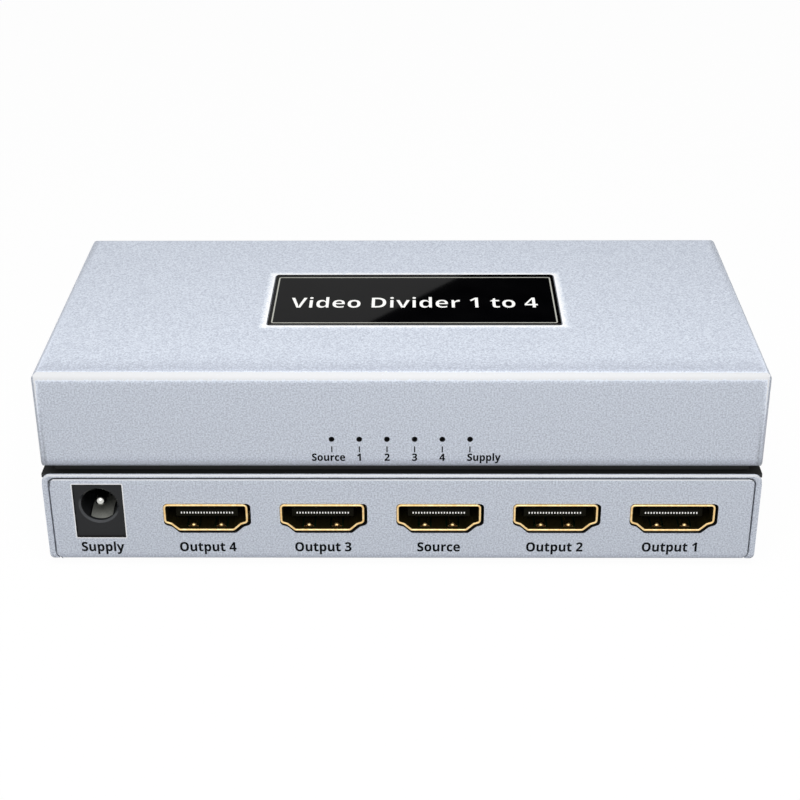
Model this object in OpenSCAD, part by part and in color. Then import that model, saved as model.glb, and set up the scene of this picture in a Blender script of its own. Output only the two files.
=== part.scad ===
// One-to-four video splitter: a silver cover over a flat silver box, with every socket in the front panel.
// Millimetres. The origin is the middle of the footprint, on the surface that the feet stand on.
// X runs to the right as seen from the front, Y to the back and Z up.

/* [Case] */
// Width of the case
case_w = 125; // [118:0.5:140]
// Depth of the case, front to back
case_d = 61; // [56:0.5:80]
// Room between the power socket and the deck above it
headroom = 1.3; // [0.4:0.1:8]
// Height of the top cover
cover_h = 18.1; // [15:0.1:30]
// Height of the black reveal between the box and the cover
reveal = 1.6; // [0.8:0.1:3]
// Side and rear walls of the box and the cover
wall = 1.8; // [1.5:0.1:2.4]
// Thickness of the box's floor
floor_t = 1.6; // [1.4:0.1:1.8]
// Thickness of the cover's roof
roof_t = 2; // [1.6:0.1:3]
// Radius along the cover's top edges
edge_r = 2; // [1:0.1:3]
// Radius along the cover's lower edges
hem_r = 0.8; // [0.4:0.1:1]
// Radius of the cover's and the box's upright edges
corner_r = 1.6; // [0.8:0.1:2.4]
// Radius along the box's lower side edges
base_r = 0.8; // [0.4:0.1:1.2]
// Thickness of the black deck that closes the box
deck_t = 0.7; // [0.6:0.1:1.2]
// Thickness of the wall on the deck that locates the cover
locator_t = 1.2; // [0.8:0.1:2]
// Height of that wall above the deck
locator_h = 4; // [2.5:0.1:6]
// Clearance between that wall and the cover
locator_gap = 0.3; // [0.2:0.05:0.6]

/* [Front panel] */
// Thickness of the front panel
panel_t = 1.2; // [0.8:0.1:1.6]
// Width of the rim at the panel's sides
rim_w = 1; // [0.6:0.1:1.4]
// Height of the rim's bar above the panel
rim_bar = 0.7; // [0.6:0.1:1.4]
// Thickness of that bar, front to back
rim_t = 0.5; // [0.4:0.05:0.8]
// Radius of the rim's upper corners
rim_r = 1.5; // [0.6:0.1:2]
// Gap between the panel and the rim
panel_gap = 0.2; // [0.1:0.05:0.4]
// Corner radius of the panel
panel_r = 1.1; // [0.4:0.1:1.5]

/* [Name plate] */
// Width of the plate on the cover
plate_w = 52.5; // [30:0.5:80]
// Depth of the plate
plate_d = 22.5; // [12:0.5:32]
// Thickness of the plate
plate_t = 0.7; // [0.5:0.1:1]
// How far the plate is let into the cover
plate_sink = 0.5; // [0.2:0.1:0.8]
// Corner radius of the plate
plate_r = 0.6; // [0.4:0.1:3]
// Distance of the plate's middle from the middle of the cover, to the right
plate_x = 2.3; // [-10:0.1:10]
// Gap round the plate in its recess
plate_gap = 0.15; // [0.05:0.05:0.3]

/* [Video ports] */
// Distance of the last port from the right side of the case
port_inset = 15; // [13:0.5:20]
// Distance of the first port from the power socket
port_from_jack = 18.7; // [15:0.1:20]
// Height of a port's centre above the main board
port_rise = 4.08; // [3.9:0.01:5]
// Width of a port's mouth
mouth_w = 14; // [13.5:0.1:14.5]
// Height of a port's mouth
mouth_h = 4.6; // [4.4:0.05:5]
// Length of the mouth's upright sides
mouth_side = 3.06; // [2.8:0.02:3.2]
// How far the step below each upright side comes in
mouth_step_w = 1; // [0.8:0.05:1.2]
// Height of that step
mouth_step_h = 0.34; // [0.24:0.02:0.5]
// Width of the mouth's lower edge
mouth_base_w = 9.4; // [9:0.1:10]
// Corner radius of the mouth
mouth_r = 0.35; // [0.2:0.05:0.4]
// Sheet thickness of the port's shell
shell_t = 0.3; // [0.25:0.05:0.35]
// Length of the shell behind the panel's front
shell_len = 12; // [11:0.1:14]
// Length of the shell's closed tube
tube_len = 8.4; // [7.5:0.1:9]
// Width of the rolled lip round the mouth
lip_w = 0.4; // [0.36:0.02:0.6]
// How far the lip stands out of the panel
lip_proud = 0.2; // [0.1:0.05:0.8]
// Length of the rolled lip
lip_len = 0.9; // [0.6:0.1:1.5]
// Clearance between the lip and its cut-out
port_fit = 0.28; // [0.15:0.01:0.4]
// How far a cut-out sits to the right of its port
cut_right = 0.23; // [0:0.01:0.3]
// How far a cut-out sits below its port
cut_down = 0.23; // [0:0.01:0.3]
// Width of the tongue that carries the contacts
tongue_w = 10.9; // [10.2:0.1:11.4]
// Thickness of the tongue
tongue_t = 1.9; // [1.7:0.05:2.1]
// Distance of the tongue's nose behind the panel's front
nose_y = 1.6; // [0.6:0.05:2.5]
// Chamfer on the tongue's nose
nose_c = 0.3; // [0.1:0.05:0.45]
// Distance between neighbouring contacts
contact_pitch = 0.5; // [0.46:0.01:0.52]
// Width of a contact
contact_w = 0.2; // [0.18:0.01:0.34]
// Sheet thickness of a contact
contact_t = 0.2; // [0.14:0.02:0.26]

/* [Power socket] */
// Distance of the socket's axis from the left side of the case
jack_inset = 9.5; // [8.5:0.1:12]
// Width of the socket's body
jack_w = 8.5; // [8.2:0.1:9.5]
// Height of the socket's body
jack_h = 10.6; // [10.2:0.1:10.9]
// Length of the socket's body
jack_len = 13.6; // [12.6:0.1:15]
// Height of the socket's axis above the board
jack_axis = 6.3; // [6.1:0.1:6.7]
// Distance of the socket's face behind the panel's front
jack_recess = 0.3; // [0.1:0.05:0.8]
// Gap between the socket's body and its cut-out
jack_fit = 0.1; // [0.05:0.05:0.3]
// Diameter of the bore that takes the plug
bore_d = 6.4; // [6:0.1:6.8]
// Depth of the bore
bore_len = 9.6; // [8.8:0.1:10.5]
// Chamfer at the bore's mouth
bore_c = 0.35; // [0.2:0.05:0.5]
// Diameter of the centre pin
pin_d = 2; // [1.6:0.05:2.5]
// Distance of the pin's tip behind the socket's face
pin_set = 1; // [0.5:0.1:3]
// Width of the spring leaf
leaf_w = 3.8; // [3:0.1:4.2]
// Sheet thickness of the spring leaf
leaf_t = 0.3; // [0.2:0.05:0.4]
// How far the leaf bows up between its ends
leaf_bow = 1; // [0.7:0.05:1.2]
// Depth of the leaf's ends below the socket's axis
leaf_drop = 3.45; // [3.3:0.05:3.7]
// Clearance round the leaf in its slot
leaf_gap = 0.25; // [0.15:0.05:0.4]
// How far the leaf's free end can be pressed down
leaf_travel = 1; // [0.8:0.05:1.1]

/* [Main board] */
// Height of the main board's upper face above the box's underside
board_z = 4.4; // [4.2:0.1:4.6]
// Thickness of the boards
board_t = 1.6; // [1.4:0.1:1.8]
// Gap between the main board and the walls round it
board_gap = 0.8; // [0.5:0.1:1.5]
// Side of the splitter chip
chip_s = 14; // [10:0.5:16]
// Thickness of the splitter chip
chip_t = 1.2; // [0.8:0.1:1.6]
// Side of the heat sink on the chip
sink_s = 20; // [16:0.5:24]
// Height of the heat sink
sink_h = 6; // [4:0.5:7]
// Number of fins on the heat sink
sink_fins = 7; // [4:1:9]
// Thickness of a fin
fin_t = 1; // [0.6:0.1:1.2]
// Thickness of the heat sink's foot
sink_foot = 1.5; // [1:0.1:2]
// Thickness of the soft pad between the chip and the heat sink
pad_t = 0.5; // [0.3:0.1:1]
// Diameter of the bulk capacitors
cap_d = 6.3; // [5:0.1:8]
// Height of the bulk capacitors
cap_h = 7.7; // [5:0.1:8.5]
// Side of the power inductor
coil_s = 7; // [5:0.5:8]
// Height of the power inductor
coil_h = 4; // [2.5:0.1:5]

/* [Indicators] */
// Distance between neighbouring indicators
led_pitch = 4.74; // [4.4:0.02:6]
// Height of the indicators above the cover's lower edge
led_rise = 5.52; // [4.6:0.02:8]
// Diameter of the holes in the cover
led_hole_d = 1; // [0.8:0.1:2]
// Diameter of an indicator's body
led_d = 3; // [2.5:0.1:3.4]
// Length of an indicator's body
led_len = 5.3; // [4.5:0.1:6]
// Gap between an indicator and the cover's wall
led_gap = 0.3; // [0.2:0.1:0.8]
// Gap between the indicator board and the deck
led_board_gap = 0.8; // [0.4:0.1:1.6]
// Width of the ribbon cable
ribbon_w = 8; // [6:0.5:12]
// Thickness of the ribbon cable
ribbon_t = 0.9; // [0.6:0.1:1.2]
// Bend radius of the ribbon cable
ribbon_r = 4; // [3:0.5:5]

/* [Fasteners and feet] */
// Diameter of the screws that hold the case together
case_screw_d = 3; // [2.6:0.1:3.2]
// Diameter of their heads
case_head_d = 5.2; // [5:0.1:5.6]
// Height of their heads
case_head_h = 1.8; // [1.2:0.1:2]
// How far those screws reach into the cover
case_grip = 7; // [5:0.5:10]
// Diameter of the cover's screw bosses
boss_d = 6; // [5.4:0.1:6.6]
// Diameter of the box's screw pillars
pillar_d = 7.4; // [7.2:0.1:7.8]
// Diameter of the screws that hold the boards
board_screw_d = 2.2; // [2:0.1:2.6]
// Diameter of their heads
board_head_d = 4.2; // [3.8:0.1:4.6]
// Height of their heads
board_head_h = 1.4; // [1:0.1:1.8]
// Clearance round the screws in their holes
screw_gap = 0.1; // [0.05:0.05:0.2]
// Diameter of the rubber feet
foot_d = 9; // [7:0.5:12]
// Height of the rubber feet
foot_h = 1.5; // [1:0.1:3]
// Distance of a foot's middle from the sides of the case
foot_inset_x = 20; // [17:0.5:28]
// Distance of a foot's middle from the front and back of the case
foot_inset_y = 9; // [7:0.5:14]

/* [Hidden] */
$fn = 48;
over = 1; // how far a cut runs past the face it opens
silver = "#c3c8d2";
black = "#191a1a";
gold = "#e6c27a";
tin = "#cfd2d4";

// Levels of the case
front_y = -case_d / 2;
back_y = case_d / 2;
box_z = foot_h;
box_h = board_z + jack_h + headroom + deck_t;
floor_z = box_z + floor_t;
rim_z = box_z + box_h;
deck_z = rim_z - deck_t;
cover_z = rim_z + reveal;
top_z = cover_z + cover_h;
panel_top = rim_z - max(rim_bar, deck_t) - panel_gap;
panel_w = case_w - 2 * (rim_w + panel_gap);
panel_h = panel_top - box_z;

// Places of the ports, the power socket and the main board
board_top = box_z + board_z;
board_low = board_top - board_t;
tail_max = 0.7;
tail_clear = 0.1;
tail = min(tail_max, board_low - floor_z - tail_clear); // how far soldered tails reach below the board
port_z = board_top + port_rise;
jack_x = -case_w / 2 + jack_inset;
port_n = 5;
port_first = jack_x + port_from_jack;
port_last = case_w / 2 - port_inset;
port_xs = [for (i = [0:port_n - 1]) port_first + (port_last - port_first) * i / (port_n - 1)];
jack_z = board_top + jack_axis;
board_front = front_y + panel_t + board_gap;
board_back = back_y - wall - board_gap;
board_hw = case_w / 2 - wall - board_gap;

// The screw pillars stand clear of the deck's locating wall and of the power socket
terminal_t = 0.4;
boss_room = 0.4;
boss_inset = wall + locator_gap + locator_t + boss_room + boss_d / 2;
pillar_x = case_w / 2 - boss_inset;
pillar_front = front_y + jack_recess + jack_len + terminal_t + board_gap + pillar_d / 2;
pillar_back = back_y - boss_inset;
pillars = [for (x = [-pillar_x, pillar_x], y = [pillar_front, pillar_back]) [x, y]];

// The main board's screws sit beside the pillars, in standoffs that close below them
board_hole_in = 2;
board_hole_back = 3;
standoff_wall = 0.7;
standoff_floor = 0.6;
board_hole_x = pillar_x - pillar_d / 2 - board_gap - board_head_d / 2 - board_hole_in;
board_hole_ys = [pillar_front + board_hole_back, pillar_back];
board_holes = [for (x = [-board_hole_x, board_hole_x], y = board_hole_ys) [x, y]];
board_screw_grip = board_low - box_z - standoff_floor;

// The indicator board hangs behind the cover's front wall on two posts
led_n = 6;
led_y = front_y + wall + led_gap;
led_board_y = led_y + led_len;
led_board_t = board_t;
led_board_low = rim_z + led_board_gap;
led_board_up = 6;
led_mid = cover_z + led_rise;
led_xs = [for (i = [0:led_n - 1]) (i - (led_n - 1) / 2) * led_pitch];
post_d = 5;
post_room = 1.2;
post_floor = 1;
post_x = led_xs[led_n - 1] + led_d / 2 + post_d / 2 + post_room;
led_board_hw = post_x + post_d / 2;
indicator_grip = led_board_y - (front_y + wall) - post_floor;
lead_x = 1.27;
lead_hole = 0.6;
lead_end = 0.6;

// The ribbon leaves the back of the indicator board and drops through the deck to the main board
header_side = 1;
header_w = ribbon_w + 2 * header_side;
header_d = 4;
header_h = 5;
header_room = 3;
window_room = 2;
ribbon_lead = 1;
indicator_header_z = led_board_low + header_h / 2;
ribbon_y0 = led_board_y + led_board_t + header_d;
ribbon_y = ribbon_y0 + ribbon_lead + ribbon_r;
ribbon_foot = board_top + header_h;

// The chip and its neighbours stand behind the ports
chip_y = ribbon_y + header_d / 2 + header_room + sink_s / 2;
sink_z = board_top + chip_t + pad_t;
pad_inset = 0.5;
near_gap = 6;
cap_gap = 2;
near_x = sink_s + near_gap;
cap_x = near_x + cap_gap + cap_d * 1.5;
controller_w = 13;
controller_d = 7.5;
controller_h = 2.4;
regulator_w = 6.5;
regulator_d = 3.5;
regulator_h = 1.7;
crystal_back = 12;
regulator_back = 10;
cap_step = cap_d * 0.8;
mark_depth = 0.1;

// Spring leaf: a bow whose rear end is its root
leaf_set = 0.2;
leaf_root = 0.6;
leaf_y0 = front_y + jack_recess + pin_set + leaf_set;
leaf_y1 = front_y + jack_recess + bore_len + leaf_root;
leaf_mid = (leaf_y0 + leaf_y1) / 2;
leaf_half = (leaf_y1 - leaf_y0) / 2;
leaf_r = (leaf_half * leaf_half + leaf_bow * leaf_bow) / (2 * leaf_bow);
leaf_root_gap = 0.15;
slot_w = leaf_w + 2 * leaf_gap;
slot_drop = leaf_drop + leaf_t / 2 + leaf_travel + leaf_gap;

// The power socket's tails pass through the board
terminal_w = 2.6;
pin_tail_y = front_y + jack_recess + jack_len;
leaf_tail_y = leaf_y1 + leaf_root_gap;
spigot_step = 0.2;
spigot_gap = 0.02;
spigot_d = pin_d - 2 * spigot_step;

// Legs of a port's shell: their places along the shell
leg_w = 1.6;
leg_front = 3.4;
leg_back = 0.6;
leg_gap = 0.15;
leg_ys = [front_y + leg_front, front_y + shell_len - leg_w - leg_back];

// Spring fingers in a port's shell: two below and two above, each cut free on three sides
finger_x = 2.45;
finger_w = 1.8;
finger_len = 5;
finger_slit = 0.3;
finger_rise = 0.35;
finger_tip = 1;
nub_r = 0.45;

// Contacts: ten along the top of the tongue and nine along its underside, with all their tips in one row
contact_n = 19;
tip_h = 0.34;
tip_proud = 0.03;
tip_jog = 1;
contact_foot = 0.8;
insulator_set = 0.4;
insulator_back = shell_len - insulator_set;
insulator_fit = 0.05;

// Signal protection arrays: two behind each port
array_x = 2.6;
array_w = 2.5;
array_d = 1;
array_h = 0.6;
array_back = 2;

// Outlines of the ports
mouth = let (hw = mouth_w / 2, hh = mouth_h / 2, z1 = hh - mouth_side, z2 = z1 - mouth_step_h) [
    [mouth_base_w / 2, -hh], [hw - mouth_step_w, z2], [hw, z1], [hw, hh],
    [-hw, hh], [-hw, z1], [mouth_step_w - hw, z2], [-mouth_base_w / 2, -hh]
];

function unit(v) = v / norm(v);

// Outward normal of the side from a to b of an outline that runs anticlockwise
function normal(a, b) = unit([b.y - a.y, a.x - b.x]);

// An outline moved outwards by g on every side
function grown(p, g) = let (n = len(p)) [
    for (i = [0:n - 1])
        let (a = normal(p[(i + n - 1) % n], p[i]), b = normal(p[i], p[(i + 1) % n]))
            p[i] + g * (a + b) / (1 + a * b)
];

// The arc of radius r that rounds corner b between its neighbours a and c
function corner_arc(a, b, c, r, steps = 4) =
    let (u = unit(a - b), v = unit(c - b), half = acos(u * v) / 2,
         o = b + unit(u + v) * r / sin(half), p = b + u * r / tan(half) - o,
         turn = sign(v.x * u.y - v.y * u.x) * (180 - 2 * half))
        [for (i = [0:steps]) let (t = turn * i / steps)
            o + [p.x * cos(t) - p.y * sin(t), p.x * sin(t) + p.y * cos(t)]];

function rounded(p, r) = let (n = len(p)) [
    for (i = [0:n - 1]) each corner_arc(p[(i + n - 1) % n], p[i], p[(i + 1) % n], r)
];

module rounded_rect(w, d, r) {
    square([w - 2 * r, d], center = true);
    square([w, d - 2 * r], center = true);
    for (x = [-1, 1], y = [-1, 1])
        translate([x * (w / 2 - r), y * (d / 2 - r)])
            circle(r);
}

// A front-view outline carried from y0 back to y1
module front_prism(y0, y1) {
    translate([0, y1, 0])
        rotate([90, 0, 0])
            linear_extrude(y1 - y0)
                children();
}

// A side-view outline, Y across and Z up, carried across a width about x
module side_prism(x, w) {
    translate([x - w / 2, 0, 0])
        rotate([90, 0, 90])
            linear_extrude(w)
                children();
}

// A cylinder along Y from y0 back to y1
module bar_y(y0, y1, d, d1 = undef) {
    translate([0, y0, 0])
        rotate([-90, 0, 0])
            cylinder(h = y1 - y0, d1 = d, d2 = is_undef(d1) ? d : d1);
}

// A box given by its middle in X, its near and far Y, and its low and high Z
module block(x, w, y0, y1, z0, z1) {
    translate([x - w / 2, y0, z0])
        cube([w, y1 - y0, z1 - z0]);
}

// Outline of the cover seen along one axis: broad rounds above, small ones below
module crowned(w) {
    translate([-w / 2, cover_z + hem_r])
        square([w, cover_h - edge_r - hem_r]);
    translate([edge_r - w / 2, cover_z + hem_r])
        square([w - 2 * edge_r, cover_h - hem_r]);
    translate([hem_r - w / 2, cover_z])
        square([w - 2 * hem_r, 2 * hem_r]);
    for (s = [-1, 1]) {
        translate([s * (w / 2 - edge_r), top_z - edge_r])
            circle(edge_r);
        translate([s * (w / 2 - hem_r), cover_z + hem_r])
            circle(hem_r);
    }
}

module cover_form() {
    intersection() {
        translate([0, 0, cover_z])
            linear_extrude(cover_h)
                rounded_rect(case_w, case_d, corner_r);
        front_prism(front_y - over, back_y + over)
            crowned(case_w);
        side_prism(0, case_w + 2 * over)
            crowned(case_d);
    }
}

module top_cover() {
    color(silver)
        difference() {
            union() {
                difference() {
                    cover_form();
                    block(0, case_w - 2 * wall, front_y + wall, back_y - wall,
                          cover_z - over, top_z - roof_t);
                }
                for (p = pillars)
                    translate([p.x, p.y, rim_z])
                        cylinder(h = top_z - roof_t - rim_z, d = boss_d);
                for (s = [-1, 1])
                    translate([s * post_x, 0, led_mid])
                        bar_y(front_y + wall, led_board_y, post_d);
            }
            for (p = pillars)
                translate([p.x, p.y, rim_z - over])
                    cylinder(h = case_grip + 2 * over, d = case_screw_d + 2 * screw_gap);
            for (s = [-1, 1])
                translate([s * post_x, 0, led_mid])
                    bar_y(led_board_y - indicator_grip, led_board_y + over, board_screw_d + 2 * screw_gap);
            for (x = led_xs)
                translate([x, 0, led_mid])
                    bar_y(front_y - over, front_y + wall + over, led_hole_d);
            translate([plate_x, 0, top_z - plate_sink])
                linear_extrude(plate_sink + over)
                    rounded_rect(plate_w + 2 * plate_gap, plate_d + 2 * plate_gap, plate_r + plate_gap);
        }
}

module name_plate() {
    color("#0a0a0b")
        translate([plate_x, 0, top_z - plate_sink])
            linear_extrude(plate_t)
                rounded_rect(plate_w, plate_d, plate_r);
}

// Plan of the lower box: round at the back, square at the front
module box_plan() {
    rounded_rect(case_w, case_d, corner_r);
    translate([-case_w / 2, front_y])
        square([case_w, case_d / 2]);
}

// Front view of the lower box
module box_front() {
    translate([-case_w / 2, box_z + base_r])
        square([case_w, box_h - base_r - rim_r]);
    translate([base_r - case_w / 2, box_z])
        square([case_w - 2 * base_r, box_h / 2]);
    translate([rim_r - case_w / 2, box_z + box_h / 2])
        square([case_w - 2 * rim_r, box_h / 2]);
    for (s = [-1, 1]) {
        translate([s * (case_w / 2 - base_r), box_z + base_r])
            circle(base_r);
        translate([s * (case_w / 2 - rim_r), rim_z - rim_r])
            circle(rim_r);
    }
}

// Front view of the panel, grown by a gap
module panel_outline(gap) {
    translate([0, box_z + panel_h / 2])
        rounded_rect(panel_w + 2 * gap, panel_h + 2 * gap, panel_r + gap);
}

module deck() {
    window_w = header_w + 2 * window_room;
    window_d = header_d + 2 * window_room;
    color(black)
        difference() {
            union() {
                translate([0, 0, deck_z])
                    linear_extrude(deck_t)
                        difference() {
                            box_plan();
                            translate([-case_w / 2 - over, front_y - over])
                                square([case_w + 2 * over, rim_t + over]);
                        }
                translate([0, 0, deck_z])
                    linear_extrude(deck_t + locator_h)
                        square([case_w, case_d] - 2 * (wall + locator_gap) * [1, 1], center = true);
            }
            translate([0, 0, rim_z])
                linear_extrude(locator_h + over)
                    square([case_w, case_d] - 2 * (wall + locator_gap + locator_t) * [1, 1], center = true);
            for (p = pillars)
                translate([p.x, p.y, deck_z - over])
                    cylinder(h = deck_t + 2 * over, d = case_screw_d + 2 * screw_gap);
            block(0, window_w, ribbon_y - window_d / 2, ribbon_y + window_d / 2,
                  deck_z - over, rim_z + over);
        }
}

module base_shell() {
    inner_w = case_w - 2 * wall;
    color(silver)
        difference() {
            union() {
                difference() {
                    intersection() {
                        union() {
                            translate([0, 0, box_z])
                                linear_extrude(box_h - deck_t)
                                    box_plan();
                            block(0, case_w, front_y, front_y + rim_t, box_z, rim_z);
                        }
                        front_prism(front_y - over, back_y + over)
                            box_front();
                    }
                    block(0, inner_w, front_y + panel_t - over / 2, back_y - wall,
                          floor_z, deck_z + over / 2);
                    front_prism(front_y - over, front_y + panel_t)
                        panel_outline(panel_gap);
                }
                for (p = pillars)
                    translate([p.x, p.y, box_z])
                        cylinder(h = deck_z - box_z, d = pillar_d);
                for (p = board_holes)
                    translate([p.x, p.y, box_z])
                        cylinder(h = board_low - box_z, d = board_head_d + 2 * standoff_wall);
            }
            for (p = pillars) {
                translate([p.x, p.y, box_z - over])
                    cylinder(h = box_h + 2 * over, d = case_screw_d + 2 * screw_gap);
                translate([p.x, p.y, box_z - over])
                    cylinder(h = case_head_h + screw_gap + over, d = case_head_d + 4 * screw_gap);
            }
            for (p = board_holes)
                translate([p.x, p.y, board_low - board_screw_grip])
                    cylinder(h = board_screw_grip + over, d = board_screw_d + 2 * screw_gap);
        }
}

module front_panel() {
    color(silver)
        difference() {
            front_prism(front_y, front_y + panel_t)
                panel_outline(0);
            for (x = port_xs)
                translate([x + cut_right, 0, port_z - cut_down])
                    front_prism(front_y - over, front_y + panel_t + over)
                        polygon(rounded(grown(mouth, lip_w + port_fit), mouth_r + lip_w));
            block(jack_x, jack_w + 2 * jack_fit, front_y - over, front_y + panel_t + over,
                  board_top - jack_fit, board_top + jack_h + jack_fit);
        }
}

module rubber_feet() {
    color("#202020")
        for (sx = [-1, 1], sy = [-1, 1])
            translate([sx * (case_w / 2 - foot_inset_x), sy * (case_d / 2 - foot_inset_y), 0])
                rotate_extrude()
                    polygon([[0, 0], [foot_d / 2 - foot_h / 3, 0], [foot_d / 2, foot_h], [0, foot_h]]);
}

// A pan-head screw that points up from its head's underside
module screw(d, head_d, head_h, len) {
    cylinder(h = len, d = d);
    translate([0, 0, -head_h])
        rotate_extrude()
            polygon([
                [0, 0], [head_d / 2 - head_h / 3, 0], [head_d / 2, head_h / 2],
                [head_d / 2, head_h], [0, head_h]
            ]);
}

module case_screws() {
    head_z = box_z + case_head_h + screw_gap;
    color("#8a8d90")
        for (p = pillars)
            translate([p.x, p.y, head_z])
                screw(case_screw_d, case_head_d, case_head_h, rim_z + case_grip - head_z);
}

module board_screws() {
    color("#8a8d90")
        for (p = board_holes)
            translate([p.x, p.y, board_top])
                rotate([180, 0, 0])
                    screw(board_screw_d, board_head_d, board_head_h,
                          board_t + board_screw_grip - screw_gap);
}

module indicator_screws() {
    color("#8a8d90")
        for (s = [-1, 1])
            translate([s * post_x, led_board_y + led_board_t, led_mid])
                rotate([90, 0, 0])
                    screw(board_screw_d, board_head_d, board_head_h,
                          led_board_t + indicator_grip - screw_gap);
}

module main_board() {
    color("#1e5a3a")
        difference() {
            block(0, 2 * board_hw, board_front, board_back, board_low, board_top);
            for (p = pillars) {
                translate([p.x, p.y, board_low - over])
                    cylinder(h = board_t + 2 * over, d = pillar_d + board_gap);
                block(sign(p.x) * (abs(p.x) + pillar_d / 2), pillar_d, p.y - (pillar_d + board_gap) / 2,
                      p.y + (pillar_d + board_gap) / 2, board_low - over, board_top + over);
            }
            for (p = board_holes)
                translate([p.x, p.y, board_low - over])
                    cylinder(h = board_t + 2 * over, d = board_screw_d + 2 * screw_gap);
            for (x = port_xs, s = [-1, 1], y = leg_ys)
                block(x + s * (mouth_w + shell_t) / 2, shell_t + 2 * leg_gap,
                      y - leg_gap, y + leg_w + leg_gap, board_low - over, board_top + over);
            for (y = [pin_tail_y, leaf_tail_y])
                block(jack_x, terminal_w + 2 * leg_gap, y - leg_gap, y + terminal_t + leg_gap,
                      board_low - over, board_top + over);
        }
}

// The slits that cut a shell's spring fingers free, at height z
module finger_slits(z) {
    for (s = [-1, 1]) {
        for (e = [-1, 1])
            block(s * finger_x + e * (finger_w + finger_slit) / 2, finger_slit,
                  finger_tip, finger_tip + finger_len, z - shell_t, z + shell_t);
        block(s * finger_x, finger_w + 2 * finger_slit, finger_tip - finger_slit, finger_tip,
              z - shell_t, z + shell_t);
    }
}

// The rounded nub at the end of each lower finger, which a plug's skirt rides over
module finger_nubs() {
    floor_in = -mouth_h / 2;
    for (s = [-1, 1])
        intersection() {
            translate([s * finger_x, finger_tip + nub_r, floor_in + finger_rise - nub_r])
                sphere(nub_r);
            block(s * finger_x, finger_w, 0, finger_tip + 3 * nub_r, floor_in - shell_t / 2, 0);
        }
}

// A port stands with its centre at the origin and the panel's front at y = 0
module port_shell(i) {
    leg_low = -port_rise - board_t - tail;
    color(gold)
        translate([port_xs[i], front_y, port_z]) {
            difference() {
                union() {
                    front_prism(-lip_proud, shell_len)
                        polygon(rounded(grown(mouth, shell_t), mouth_r + shell_t));
                    front_prism(-lip_proud, lip_len - lip_proud)
                        polygon(rounded(grown(mouth, lip_w), mouth_r + lip_w));
                    for (s = [-1, 1], y = leg_ys)
                        block(s * (mouth_w + shell_t) / 2, shell_t,
                              y - front_y, y - front_y + leg_w, leg_low, 0);
                }
                front_prism(-lip_proud - over, shell_len + over)
                    polygon(rounded(mouth, mouth_r));
                difference() {
                    block(0, mouth_w + 2 * lip_w, tube_len, shell_len + over,
                          -mouth_h, mouth_h / 2 - mouth_side + mouth_r);
                    for (s = [-1, 1])
                        block(s * (mouth_w + shell_t) / 2, shell_t, leg_ys[1] - front_y,
                              leg_ys[1] - front_y + leg_w, -mouth_h - over, mouth_h);
                }
                finger_slits(-mouth_h / 2 - shell_t / 2);
                finger_slits(mouth_h / 2 + shell_t / 2);
            }
            finger_nubs();
        }
}

// Side view of one contact, from its tip at the tongue's nose to its foot on the board
module contact_profile(upper) {
    s = tongue_t / 2 * (upper ? 1 : -1);
    t = contact_t * (upper ? 1 : -1);
    tip = tip_h / 2 * (upper ? 1 : -1);
    y0 = nose_y - tip_proud;
    y1 = nose_y + tip_jog;
    y2 = insulator_back + contact_t;
    heel = upper ? insulator_back : y2;
    toe = upper ? y2 : insulator_back;
    z = -port_rise;
    polygon([
        [y0, -tip], [y1 + contact_t, -tip], [y1 + contact_t, s - t], [heel, s - t],
        each upper
            ? [[heel, z], [y2 + contact_foot, z], [y2 + contact_foot, z + contact_t], [toe, z + contact_t]]
            : [[heel, z + contact_t], [y2 + contact_foot, z + contact_t], [y2 + contact_foot, z], [toe, z]],
        [toe, s], [y1, s], [y1, tip], [y0, tip]
    ]);
}

module contact_set() {
    for (k = [0:contact_n - 1])
        side_prism((k - (contact_n - 1) / 2) * contact_pitch, contact_w)
            contact_profile(k % 2 == 0);
}

module port_contacts(i) {
    color(tin)
        translate([port_xs[i], front_y, port_z])
            contact_set();
}

module port_insulator(i) {
    s = tongue_t / 2;
    color("#14120c")
        translate([port_xs[i], front_y, port_z])
            difference() {
                union() {
                    side_prism(0, tongue_w)
                        polygon([
                            [tube_len + over, -s], [nose_y + nose_c, -s], [nose_y, nose_c - s],
                            [nose_y, s - nose_c], [nose_y + nose_c, s], [tube_len + over, s]
                        ]);
                    block(0, mouth_w - 2 * insulator_fit, tube_len + insulator_fit, insulator_back,
                          -port_rise, mouth_h / 2 - mouth_r);
                }
                contact_set();
            }
}

module jack_body() {
    face = front_y + jack_recess;
    color("#26282a")
        difference() {
            block(jack_x, jack_w, face, face + jack_len, board_top, board_top + jack_h);
            translate([jack_x, 0, jack_z]) {
                bar_y(face - over, face + bore_len, bore_d);
                bar_y(face - bore_c, face + bore_c, bore_d + 4 * bore_c, bore_d);
                bar_y(face + bore_len - over, face + jack_len + over, spigot_d + 2 * spigot_gap);
                block(0, slot_w, leaf_y0 - leaf_gap, leaf_y1, -slot_drop, -leaf_drop / 2);
            }
            block(jack_x, slot_w, leaf_y1 - over, leaf_tail_y + terminal_t,
                  board_top - over, jack_z - leaf_drop + leaf_t);
        }
}

module jack_pin() {
    tip_y = front_y + jack_recess + pin_set;
    root_y = front_y + jack_recess + bore_len;
    color(tin) {
        translate([jack_x, 0, jack_z]) {
            translate([0, tip_y + pin_d / 2, 0])
                sphere(d = pin_d);
            bar_y(tip_y + pin_d / 2, root_y, pin_d);
            bar_y(root_y - over, pin_tail_y + terminal_t / 2, spigot_d);
        }
        block(jack_x, terminal_w, pin_tail_y, pin_tail_y + terminal_t, board_low - tail, jack_z + pin_d);
    }
}

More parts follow.
